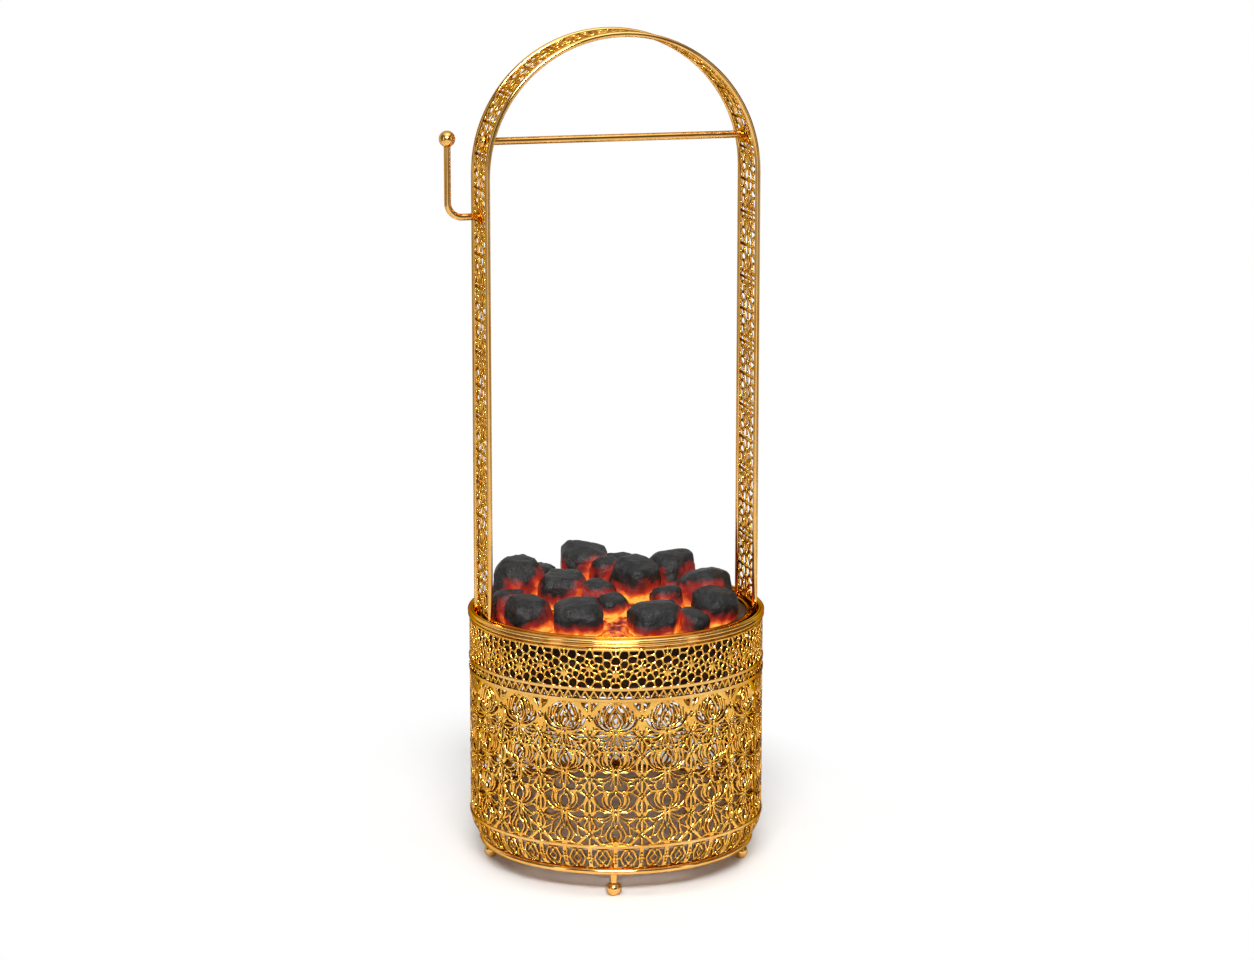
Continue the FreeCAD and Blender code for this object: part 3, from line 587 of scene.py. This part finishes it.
# Points round the rim's section: distance inwards from its outermost line, height above its foot,
# and the finish of the face from this point to the next.
RIM_PROFILE = [
    (3.8, 0.0, BRIGHT), (1.3, 0.0, DARK), (1.3, 0.5, DARK),
    (0.5, 0.75, BRIGHT), (0.1, 1.3, BRIGHT), (0.1, 1.9, BRIGHT),
    (0.5, 2.45, DARK), (1.1, 2.6, DARK), (1.1, 2.9, DARK),
    (0.4, 3.1, BRIGHT), (0.0, 3.7, BRIGHT), (0.0, 4.2, BRIGHT),
    (0.35, 4.85, BRIGHT), (1.0, 5.3, BRIGHT), (1.6, 5.4, BRIGHT),
    (2.2, 5.2, DARK), (2.5, 4.7, DARK), (2.8, 4.7, DARK),
    (3.1, 5.1, BRIGHT), (3.5, 5.05, BRIGHT), (3.8, 4.6, BRIGHT),
]


def make_rim(bright, dark):
    """Rim of two rounds, with a groove between them, one under them and one on top; the faces in the grooves
    and underneath are painted shade.
    """
    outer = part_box("rim_bead")[1].y / MM - RIM_SLACK
    foot = span("rim_bead")[0]
    count = len(RIM_PROFILE)
    turns = np.arange(RIM_STEPS) * 2 * math.pi / RIM_STEPS
    points = [((outer - back) * math.cos(turn), (outer - back) * math.sin(turn), foot + up)
              for turn in turns for back, up, _ in RIM_PROFILE]
    faces = []
    for step in range(RIM_STEPS):
        here = step * count
        there = (step + 1) % RIM_STEPS * count
        for corner in range(count):
            after = (corner + 1) % count
            faces.append((here + corner, there + corner, there + after, here + after))
    mesh = bpy.data.meshes.new("rim_double_bead")
    mesh.from_pydata((np.array(points) * MM).tolist(), [], faces)
    finishes = [finish for _, _, finish in RIM_PROFILE] * RIM_STEPS
    mesh.polygons.foreach_set("material_index", finishes)
    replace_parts(new_object("rim_double_bead", mesh, "basket", "gilt", bright, dark), "rim_bead")


# Lumps of charcoal

FACETS = 16                  # flat breaks on each lump
BREAK_SHARE = (0.84, 0.95)   # how far out a break lies, as a share of the lump's reach
BREAK_SLACK = 1e-7           # points this near a break lie on it, in metres
LUMP_WELD = 0.001            # points of a CAD lump this near each other are joined
LUMP_GRAIN = {"voxel": 1.9, "depth": 0.4, "grain": 7.0, "crack": 14.0}
BED_GRAIN = {"voxel": 2.8, "depth": 1.6, "grain": 5.0, "crack": 9.0}
WEAR_NOISE = (0.9, 2.2, 4)   # roughness, step between octaves and number of octaves
WEAR_MEAN = 0.5              # wear as a share of the depth, and how far the noise changes it
WEAR_SWING = 0.6
CRACK_WIDTH = 0.10           # share of a crack cell that the crack takes
CRACK_DEPTH = 0.9            # depth of a crack as a share of the depth of wear
GLOW_REACH = 13.0            # a surface this far from its neighbours is cold
GLOW_RISE = 0.55             # the foot of a lump is warm up to this share of its height
GLOW_SAMPLE = 4              # every fourth point stands for its lump in the search for neighbours
BED_HEAT = 0.34              # heat of the bed, and what close neighbours add
BED_GAP_HEAT = 0.58
LUMP_GAP_HEAT = 0.75         # heat that a lump has from close neighbours and at its foot
LUMP_FOOT_HEAT = 0.75
TOP_COOLING = 0.35           # heat that a surface loses where it faces up


def broken(mesh, dice):
    """Flat breaks across the corners of a lump."""
    work = bmesh.new()
    work.from_mesh(mesh)
    bmesh.ops.remove_doubles(work, verts=work.verts, dist=LUMP_WELD * MM)
    middle = sum((v.co for v in work.verts), Vector()) / len(work.verts)
    for _ in range(FACETS):
        away = Vector((dice.gauss(0, 1), dice.gauss(0, 1), dice.gauss(0, 1))).normalized()
        reach = max(away.dot(v.co - middle) for v in work.verts)
        geometry = list(work.verts) + list(work.edges) + list(work.faces)
        place = middle + away * reach * dice.uniform(*BREAK_SHARE)
        cut = bmesh.ops.bisect_plane(work, geom=geometry, dist=BREAK_SLACK, plane_co=place, plane_no=away,
                                     clear_outer=True)
        edges = [e for e in cut["geom_cut"] if isinstance(e, bmesh.types.BMEdge)]
        bmesh.ops.edgenet_fill(work, edges=edges)
    work.to_mesh(mesh)
    work.free()


def roughened(node, name, finish, slot, voxel, depth, grain, crack):
    """Worn, cracked copy of a CAD lump, or of the bed, that stays inside it; lumps are broken first.

    In millimetres: voxel is the size of the new mesh's faces, depth the wear, and grain and crack
    are the sizes of the pattern of wear and of the pattern of cracks."""
    rough = bpy.data.objects.new(name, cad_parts[node].data.copy())
    bpy.context.scene.collection.objects.link(rough)
    if node != "ember_bed":
        broken(rough.data, random.Random(node))
    even = rough.modifiers.new("even", "REMESH")
    even.mode = "VOXEL"
    even.voxel_size = voxel * MM
    worn = rough.modifiers.new("worn", "SMOOTH")
    worn.factor = 0.5
    worn.iterations = 1
    bpy.context.view_layer.update()
    mesh = bpy.data.meshes.new_from_object(rough.evaluated_get(bpy.context.evaluated_depsgraph_get()))
    bpy.data.objects.remove(rough)
    normals = [v.normal.copy() for v in mesh.vertices]
    for vertex, normal in zip(mesh.vertices, normals):
        p = vertex.co / MM
        lumpy = noise.fractal(p / grain, *WEAR_NOISE)
        near, far = noise.voronoi(p / crack)[0][:2]
        split = max(0.0, 1 - (far - near) / CRACK_WIDTH)
        wear = depth * max(0.0, WEAR_MEAN + WEAR_SWING * lumpy)
        vertex.co -= normal * MM * (wear + CRACK_DEPTH * depth * split)
    obj = new_object(name, mesh, "coals", slot, finish)
    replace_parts(obj, node)
    return obj


def heated(lumps, bed):
    """Heat of each point of the lumps and the bed: high in the gaps between them, low on free tops."""
    places = {obj: np.array([v.co / MM for v in obj.data.vertices]) for obj in lumps + [bed]}
    for obj, own in places.items():
        others = np.vstack([p[::GLOW_SAMPLE] for other, p in places.items() if other is not obj])
        tree = kdtree.KDTree(len(others))
        for number, point in enumerate(others):
            tree.insert(point, number)
        tree.balance()
        gap = np.array([tree.find(point)[2] for point in own])
        close = np.clip(1 - gap / GLOW_REACH, 0, 1)
        if obj is bed:
            heat = BED_HEAT + BED_GAP_HEAT * close
        else:
            low = own[:, 2].min()
            high = own[:, 2].max()
            rise = (own[:, 2] - low) / (high - low)
            foot = np.clip(1 - rise / GLOW_RISE, 0, 1)
            upward = np.array([max(0.0, v.normal.z) for v in obj.data.vertices])
            heat = LUMP_GAP_HEAT * close + LUMP_FOOT_HEAT * foot - TOP_COOLING * upward
        values = obj.data.attributes.new("ember_heat", "FLOAT", "POINT")
        values.data.foreach_set("value", np.clip(heat, 0, 1).astype(np.float32))


# Materials

NOISE_LOW = 0.3                     # most of a noise pattern lies between these values
NOISE_HIGH = 0.7
EDGE_TINT = (0.26, 0.15, 0.06, 1)   # reflection of gilt at a grazing angle
BLACK = (0, 0, 0)
RED = (0.36, 0.008, 0.002)
ORANGE = (1.0, 0.17, 0.012)
YELLOW = (1.0, 0.52, 0.07)


def material(name):
    """New material with its node tree and main shader."""
    made = bpy.data.materials.new(name)
    made.use_nodes = True
    tree = made.node_tree
    return made, tree, tree.nodes["Principled BSDF"]


def add(tree, kind, **settings):
    """New shader node; a setting is the name of one of its inputs or of a property."""
    item = tree.nodes.new(f"ShaderNode{kind}")
    for key, value in settings.items():
        if key in item.inputs:
            item.inputs[key].default_value = value
        else:
            setattr(item, key, value)
    return item


def noise_of(tree, scale, detail):
    """Noise over the piece's own coordinates, in waves per metre."""
    place = add(tree, "TexCoord")
    grain = add(tree, "TexNoise", Scale=scale, Detail=detail)
    tree.links.new(place.outputs["Object"], grain.inputs["Vector"])
    return grain.outputs["Fac"]


def ramp(tree, source, *stops):
    """Colour by a source; a stop is (value of the source, colour)."""
    item = add(tree, "ValToRGB")
    elements = item.color_ramp.elements
    while len(elements) < len(stops):
        elements.new(1.0)
    for element, (position, colour) in zip(elements, stops):
        element.position = position
        element.color = (*colour, 1)
    tree.links.new(source, item.inputs["Fac"])
    return item.outputs["Color"]


def ranged(tree, source, low, high, start=0.0, end=1.0):
    """Source from start to end, stretched to run from low to high."""
    item = add(tree, "MapRange")
    for name, value in (("From Min", start), ("From Max", end), ("To Min", low), ("To Max", high)):
        item.inputs[name].default_value = value
    tree.links.new(source, item.inputs["Value"])
    return item.outputs["Result"]


def combine(tree, operation, joined, *others):
    """Sources joined one after the other by a math operation."""
    for source in others:
        item = add(tree, "Math", operation=operation)
        tree.links.new(source, item.inputs[0])
        tree.links.new(joined, item.inputs[1])
        joined = item.outputs["Value"]
    return joined


def unsigned(tree, source):
    """Source without its sign."""
    item = add(tree, "Math", operation="ABSOLUTE")
    tree.links.new(source, item.inputs[0])
    return item.outputs["Value"]


def measured(tree, place, along=None):
    """Distance of a place from the origin, or along a direction."""
    item = add(tree, "VectorMath", operation="DOT_PRODUCT" if along else "LENGTH")
    tree.links.new(place, item.inputs[0])
    if along:
        item.inputs[1].default_value = along
    return item.outputs["Value"]


def bumped(tree, shader, source, strength, distance):
    item = add(tree, "Bump", Strength=strength, Distance=distance)
    tree.links.new(source, item.inputs["Height"])
    tree.links.new(item.outputs["Normal"], shader.inputs["Normal"])


def gilt(name, light, deep, rough, grain):
    """Gilt metal: warm colour that drifts a little, with a fine uneven polish."""
    made, tree, shader = material(name)
    shader.inputs["Metallic"].default_value = 1.0
    shader.inputs["Specular Tint"].default_value = EDGE_TINT
    drift = ramp(tree, noise_of(tree, scale=60, detail=5), (NOISE_LOW, deep), (NOISE_HIGH, light))
    polish = ranged(tree, noise_of(tree, scale=260, detail=6), *rough, NOISE_LOW, NOISE_HIGH)
    tree.links.new(drift, shader.inputs["Base Color"])
    tree.links.new(polish, shader.inputs["Roughness"])
    bumped(tree, shader, noise_of(tree, scale=700, detail=3), strength=grain, distance=0.0004)
    return made


def painted(name, light, dark, rough, gloss=0.5):
    """Painted sheet with faint mottling and scuffs."""
    made, tree, shader = material(name)
    shader.inputs["Specular IOR Level"].default_value = gloss
    mottling = ramp(tree, noise_of(tree, scale=90, detail=6), (NOISE_LOW, dark), (NOISE_HIGH, light))
    scuffs = ranged(tree, noise_of(tree, scale=400, detail=4), rough - 0.1, rough + 0.12)
    tree.links.new(mottling, shader.inputs["Base Color"])
    tree.links.new(scuffs, shader.inputs["Roughness"])
    bumped(tree, shader, noise_of(tree, scale=900, detail=3), strength=0.15, distance=0.0003)
    return made


def glowing(name, ash, glow, unrest):
    """Charcoal that glows by the heat of its points, broken up by noise."""
    made, tree, shader = material(name)
    shader.inputs["Specular IOR Level"].default_value = 0.3
    crust = ramp(tree, noise_of(tree, scale=150, detail=8), *ash)
    dullness = ranged(tree, noise_of(tree, scale=300, detail=4), 0.4, 0.7)
    tree.links.new(crust, shader.inputs["Base Color"])
    tree.links.new(dullness, shader.inputs["Roughness"])
    heat = add(tree, "Attribute", attribute_name="ember_heat")
    patch = ranged(tree, noise_of(tree, scale=160, detail=6), -unrest, unrest, NOISE_LOW, NOISE_HIGH)
    total = add(tree, "Math", operation="ADD", use_clamp=True)
    tree.links.new(heat.outputs["Fac"], total.inputs[0])
    tree.links.new(patch, total.inputs[1])
    tree.links.new(ramp(tree, total.outputs["Value"], *glow), shader.inputs["Emission Color"])
    shader.inputs["Emission Strength"].default_value = 1.0
    bumped(tree, shader, noise_of(tree, scale=330, detail=8), strength=0.8, distance=0.0016)
    return made


# Stage, light and camera, in metres

AZIMUTH = math.radians(-15.52)                        # of the photograph
PITCH = math.radians(11.483)
FRONT = (math.sin(AZIMUTH), -math.cos(AZIMUTH), 0.0)  # level direction towards the photographer
ACROSS = (math.cos(AZIMUTH), math.sin(AZIMUTH), 0.0)
FLOOR_REACH = 40.0
SHADE_SHAPE = (1.6, 1.0, 1.0)       # oval of floor that isn't plain white: places are scaled by this,
SHADE_SHIFT = (-0.05, -0.10, 0.0)   # then moved by this, so that its centre lies behind the basket
SHADE_EDGE = (0.20, 0.30)           # the floor turns to plain white between these sizes of the oval
REAR_FADE = (-1.0, -0.2)            # in reflections: white floor behind the basket, along FRONT
STRIP_START = (0.1, 0.3)            # white strip in front of it, along FRONT
STRIP_SIDES = (0.75, 0.90)          # and its half width, along ACROSS
PHOTO_WIDTH = 1254                  # in pixels
AXIS_PIXEL = 616.0                  # column of the photograph where the basket's axis lies
AIM = Vector((0, 0, 0.24452))
DISTANCE = 2.3
SENSOR = 36.0                       # in millimetres
LENS = 106.0


def make_floor():
    """Wide pale floor that turns to plain white away from the object and keeps its shadow near it."""
    corners = [(x * FLOOR_REACH, y * FLOOR_REACH, 0) for x, y in ((-1, -1), (1, -1), (1, 1), (-1, 1))]
    mesh = bpy.data.meshes.new("floor")
    mesh.from_pydata(corners, [], [(0, 1, 2, 3)])
    floor = bpy.data.objects.new("floor", mesh)
    bpy.context.scene.collection.objects.link(floor)
    made, tree, shader = material("floor_white")
    pale = ramp(tree, noise_of(tree, scale=3, detail=2),
                (NOISE_LOW, (0.93, 0.93, 0.925)), (NOISE_HIGH, (0.95, 0.95, 0.945)))
    tree.links.new(pale, shader.inputs["Base Color"])
    shader.inputs["Roughness"].default_value = 0.7
    white = add(tree, "Emission", Strength=1.0)
    white.inputs["Color"].default_value = (1, 1, 1, 1)
    place = add(tree, "TexCoord").outputs["Object"]
    shade = add(tree, "Mapping", Location=SHADE_SHIFT, Scale=SHADE_SHAPE)
    tree.links.new(place, shade.inputs["Vector"])
    far = ranged(tree, measured(tree, shade.outputs["Vector"]), 0.0, 1.0, *SHADE_EDGE)
    ahead = measured(tree, place, FRONT)
    side = unsigned(tree, measured(tree, place, ACROSS))
    rear = ranged(tree, ahead, 1.0, 0.0, *REAR_FADE)
    strip = combine(tree, "MULTIPLY", ranged(tree, side, 1.0, 0.0, *STRIP_SIDES),
                    ranged(tree, ahead, 0.0, 1.0, *STRIP_START))
    seen = add(tree, "LightPath").outputs
    mirrored = combine(tree, "MULTIPLY", seen["Is Glossy Ray"], combine(tree, "MAXIMUM", rear, strip))
    shown = combine(tree, "MAXIMUM", seen["Is Camera Ray"], seen["Is Transmission Ray"], mirrored)
    blend = add(tree, "MixShader")
    tree.links.new(combine(tree, "MULTIPLY", far, shown), blend.inputs["Fac"])
    tree.links.new(shader.outputs["BSDF"], blend.inputs[1])
    tree.links.new(white.outputs["Emission"], blend.inputs[2])
    tree.links.new(blend.outputs["Shader"], tree.nodes["Material Output"].inputs["Surface"])
    mesh.materials.append(made)


def make_world():
    """Studio: white wall behind the object, pale ceiling, dim room behind the camera."""
    world = bpy.data.worlds.new("studio")
    bpy.context.scene.world = world
    world.use_nodes = True
    tree = world.node_tree
    back = tree.nodes["Background"]
    place = add(tree, "TexCoord")
    axes = add(tree, "SeparateXYZ")
    tree.links.new(place.outputs["Generated"], axes.inputs["Vector"])
    wall = ranged(tree, axes.outputs["Y"], 0.0, 1.0, -1.0, 1.0)
    ceiling = ranged(tree, axes.outputs["Z"], 0.0, 0.84, 0.2, 0.8)
    dim = (0.12, 0.11, 0.10)
    grey = (0.22, 0.20, 0.18)
    white = (1, 1, 1)
    tone = ramp(tree, combine(tree, "MAXIMUM", wall, ceiling),
                (0.0, dim), (0.70, grey), (0.88, white), (1.0, white))
    seen = add(tree, "LightPath").outputs
    shown = combine(tree, "MAXIMUM", seen["Is Camera Ray"], seen["Is Glossy Ray"],
                    seen["Is Transmission Ray"])
    tree.links.new(tone, back.inputs["Color"])
    tree.links.new(ranged(tree, shown, 0.4, 1.0), back.inputs["Strength"])


def softbox(name, at, aim, size, watts, spread_angle=70):
    """Rectangular lamp that faces its aim; the angle is in degrees."""
    lamp = bpy.data.lights.new(name, "AREA")
    lamp.spread = math.radians(spread_angle)
    lamp.shape = "RECTANGLE"
    lamp.size, lamp.size_y = size
    lamp.energy = watts
    box = bpy.data.objects.new(name, lamp)
    box.location = at
    box.rotation_euler = (Vector(aim) - Vector(at)).to_track_quat("-Z", "Y").to_euler()
    bpy.context.scene.collection.objects.link(box)


def make_lights():
    """Narrow main lamp in front, soft lamp above and a weak strip on each side."""
    softbox("key", at=(-0.86, -3.1, 2.25), aim=(0, 0, 0.25), size=(2.0, 0.7), watts=12.0, spread_angle=36)
    softbox("top", at=(0.0, -0.7, 2.4), aim=(0, 0, 0.2), size=(2.6, 1.5), watts=3.6)
    softbox("left_strip", at=(-1.7, -0.9, 0.7), aim=(0, 0, 0.3), size=(0.35, 1.6), watts=0.4)
    softbox("right_strip", at=(1.5, -1.5, 0.7), aim=(0, 0, 0.3), size=(0.35, 1.6), watts=0.35)


def make_camera():
    """Long lens in front of the object, turned and raised as in the photograph."""
    back = Vector(FRONT) * math.cos(PITCH) + Vector((0, 0, math.sin(PITCH)))
    lens = bpy.data.cameras.new("camera")
    lens.sensor_width = SENSOR
    lens.lens = LENS
    lens.shift_x = (PHOTO_WIDTH / 2 - AXIS_PIXEL) / PHOTO_WIDTH
    camera = bpy.data.objects.new("camera", lens)
    camera.location = AIM + back * DISTANCE
    camera.rotation_euler = (-back).to_track_quat("-Z", "Y").to_euler()
    bpy.context.scene.collection.objects.link(camera)
    bpy.context.scene.camera = camera


def make_metal():
    """Finishes of the CAD nodes, and the wall, band and rim that stand for some of them."""
    polished = gilt("polished_gilt", (0.93, 0.565, 0.19), (0.80, 0.41, 0.10), rough=(0.05, 0.11), grain=0.02)
    gold = gilt("sheet_gilt", (0.97, 0.56, 0.13), (0.80, 0.375, 0.055), rough=(0.09, 0.18), grain=0.03)
    # painted shade: the wall's inner faces are a nearly black gilt that stands in for the shade inside the
    # basket
    inside_shade = gilt("painted_shade_inside", (0.075, 0.028, 0.009), (0.025, 0.01, 0.004), rough=(0.4, 0.6), grain=0.12)
    # painted shade: the sloping cut edges of the wall's and band's openings, and the rim's grooves and
    # underside, are a nearly black gilt that stands in for the shade there
    edge = gilt("painted_shade_edge", (0.10, 0.036, 0.008), (0.04, 0.014, 0.004), rough=(0.3, 0.5), grain=0.12)
    plate = painted("plate_paint", (0.66, 0.455, 0.30), (0.50, 0.335, 0.215), rough=0.5)
    steel = painted("pan_steel", (0.06, 0.028, 0.015), (0.025, 0.011, 0.006), rough=0.6, gloss=0.2)
    finishes = {"bottom_plate": plate, "coal_pan": steel}
    for node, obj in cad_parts.items():
        obj.data.materials.clear()
        obj.data.materials.append(finishes.get(node, polished))

    # the wall's outer faces are gilt; its inner faces and cut edges are painted shade
    wall = (gold, inside_shade, edge)
    wall_sheet("wall_base_frieze", "wall_base", frieze_tile(), wall, tucked)
    field = field_tile()
    third = COLUMNS // 3
    for number, part in enumerate("abc"):
        wall_sheet(f"wall_lotus_{part}", "wall_field", field, wall,
                   first=number * third, last=(number + 1) * third)
    wall_sheet("wall_zigzag", "wall_border", border_tile(), wall)
    wall_sheet("wall_rosettes", "wall_collar", collar_tile(), wall)
    # the band's cut edges are painted shade
    make_band((gold, gold, edge))
    make_rim(polished, edge)


def make_coals():
    """Lumps of charcoal and the bed of embers under them, with the heat between them."""
    coal_ash = ((0.3, (0.004, 0.004, 0.004)), (0.55, (0.012, 0.012, 0.0125)), (0.8, (0.034, 0.034, 0.035)))
    coal_glow = ((0.16, BLACK), (0.58, RED), (0.90, ORANGE), (1.0, YELLOW))
    charred = glowing("charred_lump", coal_ash, coal_glow, unrest=0.20)
    bed_ash = ((NOISE_LOW, (0.01, 0.004, 0.003)), (NOISE_HIGH, (0.05, 0.02, 0.012)))
    bed_glow = ((0.2, BLACK), (0.5, RED), (0.78, ORANGE), (1.0, YELLOW))
    ember = glowing("ember", bed_ash, bed_glow, unrest=0.5)
    lumps = [roughened(node, node.replace("coal", "lump"), charred, "charcoal", **LUMP_GRAIN)
             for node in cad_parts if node.startswith("coal_") and node != "coal_pan"]
    heated(lumps, roughened("ember_bed", "ember_heap", ember, "embers", **BED_GRAIN))


make_metal()
make_coals()
make_floor()
make_world()
make_lights()
make_camera()
bpy.context.scene.view_settings.view_transform = "Standard"
